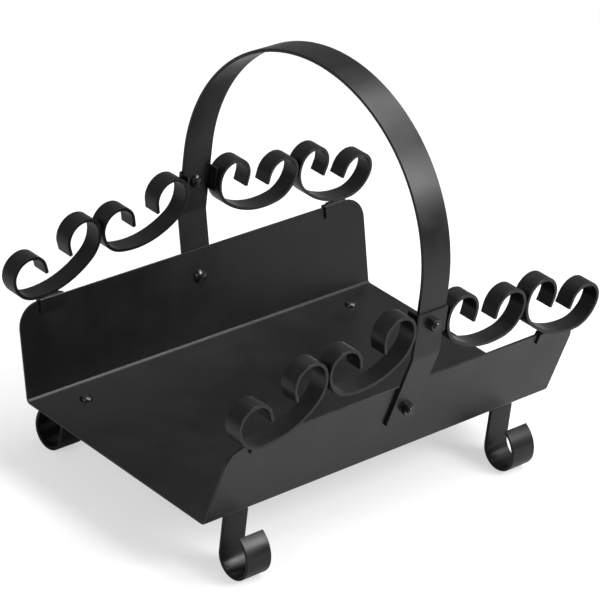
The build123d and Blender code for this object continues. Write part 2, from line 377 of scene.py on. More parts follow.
class ShaderGroup:
    """A node group with named sockets, built once and shared by the finishes."""

    def __init__(self, name: str, *sockets: Socket) -> None:
        """Make the group and its sockets.

        Args:
            name: Name of the group.
            *sockets: Its inputs and outputs in order.
        """
        self.tree = bpy.data.node_groups.new(name, "ShaderNodeTree")
        for socket in sockets:
            made = self.tree.interface.new_socket(
                socket.name, in_out=socket.way, socket_type=socket.kind
            )
            if socket.default is not None:
                made.default_value = socket.default
        self.entry = self.tree.nodes.new("NodeGroupInput")
        self.exit = self.tree.nodes.new("NodeGroupOutput")

    def given(self, name: str) -> NodeSocket:
        """Value that a material gives under a name."""
        return self.entry.outputs[name]

    def put_out(self, name: str, source: NodeSocket) -> None:
        """Send a socket out of the group under a name."""
        self.tree.links.new(source, self.exit.inputs[name])

    def noise(self, scale: NodeSocket | float, detail: float, roughness: float) -> NodeSocket:
        """Lay noise over the piece.

        Args:
            scale: Its scale.
            detail: Its number of finer layers.
            roughness: How strong those are.

        Returns:
            The noise's values.
        """
        vector = self.given("Vector")
        inputs = {"Vector": vector, "Scale": scale, "Detail": detail, "Roughness": roughness}
        return add_node(self.tree, "TexNoise", inputs).outputs["Fac"]


def powder_texture_group() -> NodeTree:
    """Group for the pebbled skin of powder coat, and its faint unevenness of tone.

    Returns:
        The group's node tree.
    """
    group = ShaderGroup(
        "powder_texture",
        Socket("Vector", kind=VECTOR),
        Socket("Pebble Scale", 900.0),
        Socket("Pebble Depth", 0.00002),
        Socket("Wave Scale", 60.0),
        Socket("Normal", kind=VECTOR, way="OUTPUT"),
        Socket("Mottle", way="OUTPUT"),
    )
    pebble = group.noise(group.given("Pebble Scale"), detail=2.0, roughness=0.55)
    wave = group.noise(group.given("Wave Scale"), detail=3.0, roughness=0.5)
    skin = {"Strength": 0.55, "Distance": group.given("Pebble Depth"), "Height": pebble}
    group.put_out("Normal", add_node(group.tree, "Bump", skin).outputs["Normal"])
    group.put_out("Mottle", ramp(group.tree, wave, start=0.3, stop=0.7))
    return group.tree


def edge_wear_and_highlight_group() -> NodeTree:
    """Group that finds the edges of a piece and breaks them into worn spots, also used as a
    painted highlight.

    Returns:
        The group's node tree.
    """
    group = ShaderGroup(
        "edge_wear_and_highlight",
        Socket("Vector", kind=VECTOR),
        Socket("Radius", 0.0008),
        Socket("Breakup Scale", 220.0),
        Socket("Mask", way="OUTPUT"),
    )
    tree = group.tree
    rounded = add_node(tree, "Bevel", {"Radius": group.given("Radius")}, samples=6)
    plain = add_node(tree, "NewGeometry", {})
    normals = {0: rounded.outputs["Normal"], 1: plain.outputs["Normal"]}
    match = add_node(tree, "VectorMath", normals, operation="DOT_PRODUCT")
    # The edges found here are painted lighter in the finishes: partly edge wear, partly a painted
    # highlight
    edge = ramp(tree, match.outputs["Value"], start=0.985, stop=0.85)
    spots = group.noise(group.given("Breakup Scale"), detail=4.0, roughness=0.6)
    group.put_out("Mask", multiply(tree, edge, ramp(tree, spots, start=0.35, stop=0.62)))
    return tree


def dust_group() -> NodeTree:
    """Group for fine dust that settles on faces turned upward.

    Returns:
        The group's node tree.
    """
    group = ShaderGroup(
        "settled_dust",
        Socket("Vector", kind=VECTOR),
        Socket("Amount", 0.2),
        Socket("Mask", way="OUTPUT"),
    )
    tree = group.tree
    normal = add_node(tree, "NewGeometry", {}).outputs["Normal"]
    height = add_node(tree, "SeparateXYZ", {"Vector": normal}).outputs["Z"]
    upward = ramp(tree, height, start=0.55, stop=1.0)
    clouds = group.noise(35.0, detail=6.0, roughness=0.65)
    settled = multiply(tree, upward, ramp(tree, clouds, start=0.4, stop=0.75))
    group.put_out("Mask", multiply(tree, settled, group.given("Amount")))
    return tree


# Finishes


@dataclass
class FinishGroups:
    """The shader groups that every finish shares."""

    texture: NodeTree = field(default_factory=powder_texture_group)
    # Edge wear mixed with a painted highlight along the edges
    wear_and_highlight: NodeTree = field(default_factory=edge_wear_and_highlight_group)
    dust: NodeTree = field(default_factory=dust_group)


@dataclass(frozen=True)
class PowderCoat:
    """Black satin powder coat on steel, for one family of pieces."""

    name: str
    base: Colour = (0.0036, 0.0036, 0.0039, 1)
    mottle: Colour = (0.0062, 0.0061, 0.0064, 1)
    # Lighter edge colour: partly edge wear, partly a painted highlight standing in for light on
    # the edges
    edge: Colour = (0.038, 0.038, 0.039, 1)
    dust: Colour = (0.055, 0.052, 0.048, 1)
    roughness_low: float = 0.29
    roughness_high: float = 0.39
    edge_roughness: float = 0.30
    dust_amount: float = 0.06
    pebble_scale: float = 900.0
    pebble_depth: float = 0.00003
    wave_scale: float = 60.0
    wear_and_highlight_radius: float = 0.0004
    wear_and_highlight_strength: float = 0.60
    specular: float = 0.42
    metallic: float = 0.0

    def material(self, groups: FinishGroups) -> Material:
        """Build the material.

        Args:
            groups: The shared shader groups.

        Returns:
            The new material.
        """
        made = bpy.data.materials.new(self.name)
        tree = empty_tree(made)
        where = add_node(tree, "TexCoord", {}).outputs["Object"]
        skin = {
            "Vector": where, "Pebble Scale": self.pebble_scale,
            "Pebble Depth": self.pebble_depth, "Wave Scale": self.wave_scale,
        }
        texture = add_node(tree, "Group", skin, node_tree=groups.texture)
        edge_mask_inputs = {"Vector": where, "Radius": self.wear_and_highlight_radius}
        wear_and_highlight = add_node(tree, "Group", edge_mask_inputs, node_tree=groups.wear_and_highlight)
        settling = {"Vector": where, "Amount": self.dust_amount}
        dust = add_node(tree, "Group", settling, node_tree=groups.dust)
        # Edges painted lighter: edge wear and a painted highlight along them
        worn_and_highlit_edges = multiply(tree, wear_and_highlight.outputs["Mask"], self.wear_and_highlight_strength)
        mottle = texture.outputs["Mottle"]
        tone = mix_colours(tree, mottle, self.base, self.mottle)
        worn_and_highlit_tone = mix_colours(tree, worn_and_highlit_edges, tone, self.edge)
        dusty = mix_colours(tree, dust.outputs["Mask"], worn_and_highlit_tone, self.dust)
        satin = {"Value": mottle, "To Min": self.roughness_low, "To Max": self.roughness_high}
        gloss = add_node(tree, "MapRange", satin).outputs["Result"]
        polish = {"Factor": worn_and_highlit_edges, "A": gloss, "B": self.edge_roughness}
        shader = add_node(tree, "BsdfPrincipled", {
            "Base Color": dusty,
            "Roughness": add_node(tree, "Mix", polish).outputs["Result"],
            "Normal": texture.outputs["Normal"],
            "Metallic": self.metallic,
            "Specular IOR Level": self.specular,
        })
        add_node(tree, "OutputMaterial", {"Surface": shader.outputs["BSDF"]})
        return made


def finishes() -> dict[Slot, Material]:
    """Make the finish of every material slot.

    Returns:
        The materials by slot.
    """
    coats = {
        Slot.SHEET: PowderCoat("black_sheet_coat", wave_scale=22.0),
        Slot.BAR: PowderCoat("black_bar_coat"),
        # The fasteners' light edges are partly wear, partly a painted glint on the nuts and bolt
        # heads
        Slot.FASTENERS: PowderCoat(
            "black_fastener_coat", base=(0.006, 0.006, 0.0065, 1), edge=(0.10, 0.10, 0.102, 1),
            roughness_low=0.16, roughness_high=0.26, wear_and_highlight_strength=0.8, pebble_scale=1600.0,
            dust_amount=0.02, specular=0.6,
        ),
        Slot.WELDS: PowderCoat(
            "black_weld_coat", roughness_low=0.44, roughness_high=0.56, wear_and_highlight_strength=0.3
        ),
    }
    groups = FinishGroups()
    return {slot: coat.material(groups) for slot, coat in coats.items()}


# Bent bars and sheets


@dataclass(frozen=True)
class Straight:
    """A straight run of a bar."""

    length: float


@dataclass(frozen=True)
class Bend:
    """A bend of a bar: a middle-line radius and an angle in degrees, left turns positive."""

    radius: float
    angle: float
    steps: int = 12


@dataclass
class BentBar:
    """A flat bar or sheet, swept along straight runs and bends in one plane."""

    name: str
    thickness: float
    width: float
    plane: Matrix
    start: tuple[float, float]
    heading: float
    runs: list[Straight | Bend]
    edge: float = 0.0005

    def build(self) -> Object:
        """Model the bar from one plane, by extruding and spinning it along its runs.

        Returns:
            The bar, in place.
        """
        first, second, normal = (self.plane.to_3x3().col[i].copy() for i in range(3))
        spot = self.plane @ Vector((*self.start, 0.0))
        angle = math.radians(self.heading)
        ahead = first * math.cos(angle) + second * math.sin(angle)
        left = normal.cross(ahead)
        bar = add_shape(bpy.ops.mesh.primitive_plane_add, size=1.0)
        bar.name = self.name
        section = Matrix((left, normal, left.cross(normal))).transposed().to_4x4()
        size = Matrix.Diagonal((self.thickness, self.width, 1, 1))
        place(bar, Matrix.Translation(spot) @ section @ size)
        bpy.ops.object.mode_set(mode="EDIT")
        bpy.ops.mesh.select_mode(type="FACE")
        bpy.ops.mesh.select_all(action="SELECT")
        for run in self.runs:
            if isinstance(run, Straight):
                step = ahead * run.length
                bpy.ops.mesh.extrude_region_move(TRANSFORM_OT_translate={"value": step})
                spot = spot + step
                continue
            turn = math.radians(run.angle)
            centre = spot + left * math.copysign(run.radius, turn)
            bpy.ops.mesh.spin(steps=run.steps, angle=-turn, center=centre, axis=normal)
            rotation = Matrix.Rotation(turn, 3, normal)
            spot = centre + rotation @ (spot - centre)
            ahead = rotation @ ahead
            left = rotation @ left
        bpy.ops.object.mode_set(mode="OBJECT")
        finish_edit(bar)
        return bar

    def finish(self, bar: Object) -> Object:
        """Round the bar's long edges and shade it."""
        soften_edges(bar, self.edge)
        smooth(bar)
        return bar


@dataclass
class Workshop:
    """What every sub-assembly needs: the finishes, and the log of finished pieces."""

    materials: dict[Slot, Material]
    flat_weight: int = 80
    done: list[str] = field(default_factory=list)

    def hand_over(self, piece: Object, slot: Slot, *nodes: str) -> None:
        """Dress a finished piece, let it ride on the holder and hide the nodes it stands for.

        Args:
            piece: The finished piece.
            slot: Its material slot.
            *nodes: CAD nodes that it replaces.
        """
        # The large faces set the shading of the rounded edges beside them
        apply_modifier(piece, "WEIGHTED_NORMAL", keep_sharp=True, weight=self.flat_weight)
        piece.data.materials.clear()
        piece.data.materials.append(self.materials[slot])
        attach(piece, BODY)
        if nodes:
            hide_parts(*nodes)
        self.done.append(piece.name)
        LOG.info("%s: %d faces", piece.name, len(piece.data.polygons))

    def hand_over_all(self, pieces: list[Object], slot: Slot, node: str) -> None:
        """Hand over pieces that stand for one node together.

        Args:
            pieces: The finished pieces.
            slot: Their material slot.
            node: The CAD node, which the first piece replaces for all.
        """
        first, *others = pieces
        self.hand_over(first, slot, node)
        for piece in others:
            self.hand_over(piece, slot)


@dataclass
class Tray:
    """The folded sheet: a floor and two leaning walls with rounded corners."""

    length: float = 0.386
    floor_width: float = 0.222
    wall_slant: float = 0.082
    sheet: float = 0.002
    bend_radius: float = 0.003
    corner_radius: float = 0.020
    flare: float = math.radians(15)
    underside: float = 0.057
    edge: float = 0.0004

    @property
    def half_floor(self) -> float:
        """Half of the floor's width, out to the folds."""
        return self.floor_width / 2

    def slope_point(self, up: float, out: float) -> tuple[float, float]:
        """Y and Z of a point on the rear wall.

        Args:
            up: Distance up the slope.
            out: Distance outward from the outer face.

        Returns:
            The point's Y and Z.
        """
        y = self.half_floor + up * math.sin(self.flare) + out * math.cos(self.flare)
        z = self.underside + up * math.cos(self.flare) - out * math.sin(self.flare)
        return y, z

    def over_rim(self, strip: float, corner: float) -> float:
        """Height of the highest line of a strip folded over the rim.

        Args:
            strip: Thickness of the strip.
            corner: Radius of its outer corners.

        Returns:
            The height.
        """
        up = self.wall_slant + strip - corner
        inward = self.sheet + strip - corner
        return self.slope_point(up, -inward)[1] + corner

    def wall_frame(self, side: Side, up: float, out: float) -> Matrix:
        """Frame on a wall whose Z axis points outward from the wall.

        Args:
            side: Which wall.
            up: Distance up the slope.
            out: Distance outward from the outer face.

        Returns:
            The frame as a matrix.
        """
        y, z = self.slope_point(up, out)
        outward = (0, side.sign * math.cos(self.flare), -math.sin(self.flare))
        return frame_matrix((0, side.sign * y, z), (1, 0, 0), outward)

    def build(self, shop: Workshop, holes: list[tuple[Matrix, float]]) -> None:
        """Fold the sheet, round its corners and drill it.

        Args:
            shop: The workshop.
            holes: Place and radius of each bolt hole.
        """
        middle = self.sheet / 2
        turn = 90 - math.degrees(self.flare)
        radius = self.bend_radius + middle
        half_turn = math.tan(math.radians(turn) / 2)
        lost = (radius + middle) * half_turn
        fold = Bend(radius, turn, 10)
        wall = Straight(self.wall_slant - lost)
        y, z = self.slope_point(self.wall_slant, -middle)
        bar = BentBar(
            "tray_sheet", self.sheet, self.length, ACROSS, (-y, z), -turn,
            [wall, fold, Straight(self.floor_width - 2 * lost), fold, wall], self.edge,
        )
        sheet = bar.build()
        bevel_edges(sheet, self._is_rim_corner, self.corner_radius, 16)
        for seat, hole in holes:
            cut_hole(sheet, seat, hole)
        bar.finish(sheet)
        shop.hand_over(sheet, Slot.SHEET, "tray")

    def _is_rim_corner(self, one: Vector, two: Vector) -> bool:
        """Tell whether an edge runs through the sheet at an upper corner of a wall.

        Args:
            one: One end of the edge.
            two: Its other end.

        Returns:
            Whether it does.
        """
        through = abs((one - two).length - self.sheet) < NEAR
        high = min(one.z, two.z) > self.underside + self.wall_slant / 2
        return through and high and min(abs(one.x), abs(two.x)) > self.length / 2 - NEAR


@dataclass
class Handle:
    """The arched flat bar with its two legs."""

    tray: Tray
    width: float = 0.030
    thickness: float = 0.003
    knee_rise: float = 0.110
    spring: float = 0.225
    knee_radius: float = 0.022
    leg_overlap: float = 0.041
    leg_bolt_below_rim: float = 0.024
    bracket_bolt_height: float = 0.197

    @property
    def arch_radius(self) -> float:
        """Radius of the arch's middle line."""
        foot = self.tray.half_floor + self.thickness / 2 / math.cos(self.tray.flare)
        return foot + self.knee_rise * math.tan(self.tray.flare)

    def leg_bolt_seat(self, side: Side) -> Matrix:
        """Seat of the leg's bolt on the wall's inner face."""
        up = self.tray.wall_slant - self.leg_bolt_below_rim
        return self.tray.wall_frame(side, up, -self.tray.sheet)

    def bracket_bolt_seat(self, side: Side) -> Matrix:
        """Seat of the bracket's bolt on the bar's inner face."""
        spot = (0, side.sign * (self.arch_radius - self.thickness / 2), self.bracket_bolt_height)
        return frame_matrix(spot, (1, 0, 0), (0, side.sign, 0))

    def build(self, shop: Workshop, hole: float) -> None:
        """Bend the bar from one leg over to the other and drill it.

        Args:
            shop: The workshop.
            hole: Radius of the bolt holes.
        """
        lean = math.degrees(self.tray.flare)
        up = self.tray.wall_slant - self.leg_overlap
        end_y, end_z = self.tray.slope_point(up, self.thickness / 2)
        trim = self.knee_radius * math.tan(self.tray.flare / 2)
        knee_z = self.tray.underside + self.knee_rise
        slope = Straight(math.hypot(self.arch_radius - end_y, knee_z - end_z) - trim)
        upright = Straight(self.spring - knee_z - trim)
        knee = Bend(self.knee_radius, lean, 8)
        arch = Bend(self.arch_radius, 180, 72)
        bar = BentBar(
            "handle_bar", self.thickness, self.width, ACROSS, (end_y, end_z), 90 - lean,
            [slope, knee, upright, arch, upright, knee, slope],
        )
        made = bar.build()
        for side in Side:
            cut_hole(made, self.leg_bolt_seat(side), hole)
            cut_hole(made, self.bracket_bolt_seat(side), hole)
        bar.finish(made)
        shop.hand_over(made, Slot.BAR, "handle")


@dataclass
class Bracket:
    """The folded channels that join the handle to the scrolls."""

    handle: Handle
    sheet: float = 0.0015
    height: float = 0.022
    depth: float = 0.012
    side_clearance: float = 0.0003
    bend_radius: float = 0.00095
    edge: float = 0.0003

    @property
    def web_y(self) -> float:
        """Y of the web's outer face."""
        return self.handle.arch_radius + self.handle.thickness / 2 + self.sheet

    @property
    def half_width(self) -> float:
        """Half of the channel's width."""
        return self.handle.width / 2 + self.side_clearance + self.sheet

    def build(self, shop: Workshop, hole: float) -> None:
        """Fold the channel for each side and drill it.

        Args:
            shop: The workshop.
            hole: Radius of the bolt hole.
        """
        middle = self.sheet / 2
        x = self.half_width - middle
        level = Matrix.Translation((0, 0, self.handle.bracket_bolt_height))
        leg = Straight(self.depth - middle - self.bend_radius)
        fold = Bend(self.bend_radius, -90, 6)
        web = Straight(2 * (x - self.bend_radius))
        for side in Side:
            bar = BentBar(
                f"bracket_{side.value}_channel", self.sheet, self.height, level,
                (-x, self.web_y - self.depth), 90, [leg, fold, web, fold, leg], self.edge,
            )
            made = bar.build()
            if side is Side.FRONT:
                place(made, MIRROR_Y)
                finish_edit(made)
            cut_hole(made, self.handle.bracket_bolt_seat(side), hole)
            bar.finish(made)
            shop.hand_over(made, Slot.BAR, f"bracket_{side.value}")


@dataclass
class ScrollRow:
    """The eight C-scrolls, in two rows of four."""

    bracket: Bracket
    seat_z: float
    inset: float = 0.0045
    width: float = 0.016
    thickness: float = 0.003
    curl_offset: float = 0.029
    curl_radius: float = 0.016
    depth: float = 0.0295
    bottom_radius: float = 0.074
    tip_length: float = 0.008
    outer_tilt: float = math.radians(20)
    inner_tilt: float = math.radians(12)
    inner_z: float = 0.189
    weld_gap: float = 0.0015
    bracket_gap: float = 0.0006
    seat_clearance: float = 0.0003

    @property
    def row_y(self) -> float:
        """Y of the rear row's middle."""
        return self.bracket.handle.arch_radius - self.inset

    @property
    def curl_end(self) -> float:
        """Radius of a curl's outer face."""
        return self.curl_radius + self.thickness / 2

    @property
    def bottom_rise(self) -> float:
        """Height of the bottom arc's centre over the curls' centres."""
        return self.bottom_radius - self.depth

    def centres(self) -> list[tuple[float, float, float]]:
        """Centre x, centre z and tilt of the four scrolls, from -X to +X.

        Returns:
            One tuple for each scroll.
        """
        inner_half = self.curl_offset * math.cos(self.inner_tilt) + self.curl_end
        outer_half = self.curl_offset * math.cos(self.outer_tilt) + self.curl_end
        inner_x = self.bracket.half_width + self.bracket_gap + inner_half
        outer_x = inner_x + inner_half + self.weld_gap + outer_half
        seat = self.seat_z + self.seat_clearance
        rise = self.bottom_rise * math.cos(self.outer_tilt)
        outer_z = seat + self.bottom_radius + self.thickness / 2 - rise
        return [
            (-outer_x, outer_z, self.outer_tilt),
            (-inner_x, self.inner_z, self.inner_tilt),
            (inner_x, self.inner_z, -self.inner_tilt),
            (outer_x, outer_z, -self.outer_tilt),
        ]

    @property
    def lowest_x(self) -> float:
        """Place along the tray of the +X end scroll's lowest point."""
        return self.centres()[3][0] + self.bottom_rise * math.sin(self.outer_tilt)

    def bar(self) -> BentBar:
        """One scroll, upright at the origin and open at the top.

        Returns:
            The scroll as a bent bar.
        """
        half_width = self.curl_offset + self.curl_radius
        over = self.bottom_radius ** 2 - half_width ** 2 - self.bottom_rise ** 2
        side_radius = over / (2 * (self.bottom_radius - half_width))
        swing = math.degrees(math.atan2(half_width - side_radius, self.bottom_rise))
        start = (self.curl_radius - self.curl_offset, -self.tip_length)
        upright = frame_matrix((0, 0, 0), (1, 0, 0), (0, -1, 0))
        tip = Straight(self.tip_length)
        curl = Bend(self.curl_radius, 180, 30)
        flank = Bend(side_radius, 90 - swing, 14)
        bottom = Bend(self.bottom_radius, 2 * swing, 20)
        return BentBar(
            "scroll", self.thickness, self.width, upright, start, 90,
            [tip, curl, flank, bottom, flank, curl, tip],
        )

    def build(self, shop: Workshop) -> None:
        """Bend one scroll and copy it to the eight places.

        Args:
            shop: The workshop.
        """
        bar = self.bar()
        pattern = bar.finish(bar.build())
        for side in Side:
            for number, (x, z, tilt) in enumerate(self.centres(), start=1):
                middle = Matrix.Translation((x, side.sign * self.row_y, z))
                spot = middle @ Matrix.Rotation(-tilt, 4, "Y")
                twin = copy_piece(pattern, f"scroll_{side.value}_bar_{number}", spot)
                shop.hand_over(twin, Slot.BAR, f"scroll_{side.value}_{number}")
        bpy.data.objects.remove(pattern)


@dataclass
class Clip:
    """The saddle clips over the rims, under the end scrolls."""

    tray: Tray
    inset: float = 0.0116
    sheet: float = 0.002
    length: float = 0.025
    leg: float = 0.010
    corner: float = 0.0016
    edge: float = 0.0003

    @property
    def top_z(self) -> float:
        """Height of the clip's highest line."""
        return self.tray.over_rim(self.sheet, self.corner)

    @property
    def rim(self) -> tuple[float, float]:
        """Y and Z of the rear rim's middle, where the saddle sits."""
        return self.tray.slope_point(self.tray.wall_slant, -self.tray.sheet / 2)

    def centre_x(self, row: ScrollRow) -> float:
        """Place along the tray, inward of the end scroll's lowest point."""
        return row.lowest_x - self.inset

    def build(self, shop: Workshop, row: ScrollRow) -> None:
        """Shape one clip and copy it to the four rims.

        Args:
            shop: The workshop.
            row: The scrolls that the clips carry.
        """
        pattern = self._saddle()
        y, z = self.rim
        for side, number, sign in CORNERS:
            middle = Matrix.Translation((sign * self.centre_x(row), side.sign * y, z))
            spot = middle @ Matrix.Rotation(-side.sign * self.tray.flare, 4, "X")
            twin = copy_piece(pattern, f"clip_{side.value}_saddle_{number}", spot)
            shop.hand_over(twin, Slot.BAR, f"clip_{side.value}_{number}")
        bpy.data.objects.remove(pattern)

    def _saddle(self) -> Object:
        """Shape a block into a saddle: rounded over the rim, with a slot for the wall.

        Returns:
            The saddle, with the rim's middle at the origin.
        """
        saddle = add_block(
            (self.length, self.tray.sheet + 2 * self.sheet, self.leg + self.sheet),
            (0, 0, (self.sheet - self.leg) / 2),
        )
        bevel_edges(
            saddle,
            lambda one, two: min(one.z, two.z) > 0 and abs(one.x - two.x) > self.length / 2,
            self.corner, 6,
        )
        slot = add_block((2 * self.length, self.tray.sheet, 2 * self.leg), (0, 0, -self.leg))
        cut_with(saddle, slot, "DIFFERENCE")
        soften_edges(saddle, self.edge)
        smooth(saddle)
        return saddle


@dataclass
class Feet:
    """The four curled feet under the floor."""

    tray: Tray
    centre_x: float = 0.150
    width: float = 0.025
    thickness: float = 0.003
    inset: float = 0.009
    hook_radius: float = 0.016
    end_radius: float = 0.024
    end_angle: float = 62
    flange: float = 0.030
    bend_radius: float = 0.0075

    @property
    def stem_y(self) -> float:
        """Y of the stem's outer face."""
        return self.tray.half_floor - self.inset

    def bolt_seat(self, side: Side, sign: int) -> Matrix:
        """Seat of a foot's bolt on the floor's upper face."""
        y = side.sign * (self.stem_y - self.flange / 2)
        top = self.tray.underside + self.tray.sheet
        return frame_matrix((sign * self.centre_x, y, top), (1, 0, 0), (0, 0, -1))

    def build(self, shop: Workshop, hole: float) -> None:
        """Bend one foot, drill it and copy it to the four corners.

        Args:
            shop: The workshop.
            hole: Radius of the bolt hole.
        """
        middle = self.thickness / 2
        top = self.tray.underside - middle
        hook_z = self.hook_radius + middle
        bar = BentBar(
            "foot", self.thickness, self.width, ACROSS, (self.stem_y - self.flange, top), 0,
            [
                Straight(self.flange - middle - self.bend_radius),
                Bend(self.bend_radius, -90, 10),
                Straight(top - self.bend_radius - hook_z),
                Bend(self.hook_radius, 180, 36),
                Bend(self.end_radius, self.end_angle, 12),
            ],
        )
        pattern = bar.build()
        drill = frame_matrix((0, self.stem_y - self.flange / 2, top), (1, 0, 0), (0, 0, 1))
        cut_hole(pattern, drill, hole)
        bar.finish(pattern)
        for side, number, sign in CORNERS:
            spot = Matrix.Translation((sign * self.centre_x, 0, 0))
            if side is Side.FRONT:
                spot = spot @ MIRROR_Y
            twin = copy_piece(pattern, f"foot_{side.value}_bar_{number}", spot)
            shop.hand_over(twin, Slot.BAR, f"foot_{side.value}_{number}")
        bpy.data.objects.remove(pattern)


@dataclass(frozen=True)
class FastenerSize:
    """Sizes of one bolt and its nut; nut is the width across its flats."""

    shank: float
    head: float
    head_height: float
    nut: float
    nut_height: float
    proud: float = 0.0016
    clearance: float = 0.0006

    @property
    def hole(self) -> float:
        """Radius of the hole for this bolt."""
        return (self.shank + self.clearance) / 2

    @property
    def corner(self) -> float:
        """Distance from the nut's middle to its corners."""
        return self.nut / math.sqrt(3)


@dataclass
class Fasteners:
    """The bolts and nuts of the handle and of the feet."""

    large: FastenerSize = FastenerSize(0.006, 0.012, 0.0036, 0.010, 0.005, 0.0020)
    small: FastenerSize = FastenerSize(0.006, 0.011, 0.0033, 0.010, 0.005)
    thread_in_nut: float = 0.0005
    ridges: int = 2
    thread_root: float = 0.90
    tip: float = 0.00035
    tip_width: float = 0.86
    brim: float = 0.18
    dome_angle: float = math.radians(78)
    dome_rings: int = 8
    bore: float = 0.485
    corner_cut: float = 0.11
    cone_spare: float = 0.02
    nut_edge: float = 0.00025
    sharp_angle: float = 30

    def bolt(self, size: FastenerSize, grip: float) -> Object:
        """Model a dome-headed bolt with a threaded end.

        Args:
            size: Sizes of the bolt.
            grip: Thickness that it clamps.

        Returns:
            The bolt, with its head below the origin and its shank up Z.
        """
        bolt = add_shape(
            bpy.ops.mesh.primitive_circle_add, vertices=ROUND_SIDES, radius=size.shank / 2,
            fill_type="NGON",
        )
        bpy.ops.object.mode_set(mode="EDIT")
        bpy.ops.mesh.select_mode(type="FACE")
        bpy.ops.mesh.select_all(action="SELECT")
        self._rise(grip + size.nut_height - self.thread_in_nut)
        self._threads(size.proud + self.thread_in_nut)
        bpy.ops.object.mode_set(mode="OBJECT")
        self._dome(bolt, size)
        finish_edit(bolt)
        smooth(bolt, self.sharp_angle)
        return bolt

    @staticmethod
    def _rise(height: float, scale: float = 1.0) -> None:
        """Extrude the selected end along Z and scale it."""
        bpy.ops.mesh.extrude_region_move(TRANSFORM_OT_translate={"value": (0, 0, height)})
        bpy.ops.transform.resize(value=(scale, scale, 1))

    def _threads(self, length: float) -> None:
        """Shape the bolt's end into thread ridges and a chamfered tip.

        Args:
            length: Length of the threaded end.
        """
        step = (length - self.tip) / (2 * self.ridges)
        for _ in range(self.ridges):
            self._rise(step, self.thread_root)
            self._rise(step, 1 / self.thread_root)
        self._rise(self.tip, self.tip_width)

    def _dome(self, bolt: Object, size: FastenerSize) -> None:
        """Shape the domed head below the shank.

        Args:
            bolt: The bolt being modelled.
            size: Sizes of the bolt.
        """
        select_parts(
            bolt, "FACE",
            lambda face: abs(face.center.z) < MERGE_GAP and abs(face.normal.z) > 0.9,
        )
        self._rise(0, size.head / size.shank)
        self._rise(-size.head_height * self.brim)
        width, depth = 1.0, 0.0
        for ring in range(1, self.dome_rings + 1):
            angle = self.dome_angle * ring / self.dome_rings
            goal = math.cos(angle)
            drop = size.head_height * (1 - self.brim) * math.sin(angle)
            self._rise(depth - drop, goal / width)
            width, depth = goal, drop
        bpy.ops.object.mode_set(mode="OBJECT")

    def nut(self, size: FastenerSize) -> Object:
        """Model a hexagon nut, with its upper corners turned down as on a lathe.

        Args:
            size: Sizes of the nut.

        Returns:
            The nut, standing on the origin.
        """
        middle = (0, 0, size.nut_height / 2)
        nut = add_shape(
            bpy.ops.mesh.primitive_cylinder_add, vertices=6, radius=size.corner,
            depth=size.nut_height, location=middle, rotation=(0, 0, math.radians(30)),
        )
        place(nut, nut.matrix_world.copy())
        spare = self.cone_spare * size.corner
        cone = add_shape(
            bpy.ops.mesh.primitive_cone_add, vertices=ROUND_SIDES,
            radius1=size.corner + spare + size.nut_height,
            radius2=size.corner + spare - self.corner_cut * size.corner,
            depth=size.nut_height + 2 * spare, location=middle,
        )
        place(cone, cone.matrix_world.copy())
        cut_with(nut, cone, "INTERSECT")
        cut_hole(nut, Matrix.Identity(4), self.bore * size.shank, 4 * size.nut_height)
        soften_edges(nut, self.nut_edge)
        smooth(nut, self.sharp_angle)
        return nut

    def build(self, shop: Workshop, bracket: Bracket, feet: Feet) -> None:
        """Make every bolt and nut and put them in their seats.

        Args:
            shop: The workshop.
            bracket: The brackets, with the handle that they sit on.
            feet: The feet, for their seats.
        """
        handle = bracket.handle
        sheet = handle.tray.sheet
        joints = {
            "bracket": (handle.thickness + bracket.sheet, handle.bracket_bolt_seat),
            "leg": (sheet + handle.thickness, handle.leg_bolt_seat),
        }
        nut = self.nut(self.large)
        for name, (grip, find_seat) in joints.items():
            bolt = self.bolt(self.large, grip)
            for side in Side:
                seat = find_seat(side)
                twin = copy_piece(bolt, f"{name}_bolt_{side.value}_turned", seat)
                shop.hand_over(twin, Slot.FASTENERS, f"{name}_bolt_{side.value}")
                beyond = seat @ Matrix.Translation((0, 0, grip))
                twin = copy_piece(nut, f"{name}_nut_{side.value}_hex", beyond)
                shop.hand_over(twin, Slot.FASTENERS, f"{name}_nut_{side.value}")
            bpy.data.objects.remove(bolt)
        bpy.data.objects.remove(nut)
        grip = sheet + feet.thickness
        patterns = {
            "foot_bolts": (self.bolt(self.small, grip), 0),
            "foot_nuts": (self.nut(self.small), grip),
        }
        for node, (pattern, along) in patterns.items():
            shift = Matrix.Translation((0, 0, along))
            twins = [
                copy_piece(
                    pattern, f"{node}_{side.value}_{number}", feet.bolt_seat(side, sign) @ shift
                )
                for side, number, sign in CORNERS
            ]
            shop.hand_over_all(twins, Slot.FASTENERS, node)
            bpy.data.objects.remove(pattern)


@dataclass(frozen=True)
class BeadKind:
    """One kind of weld bead: its CAD node, half its size, its long axis and its ripples."""

    node: str
    half: Point
    long_axis: int
    ripples: int


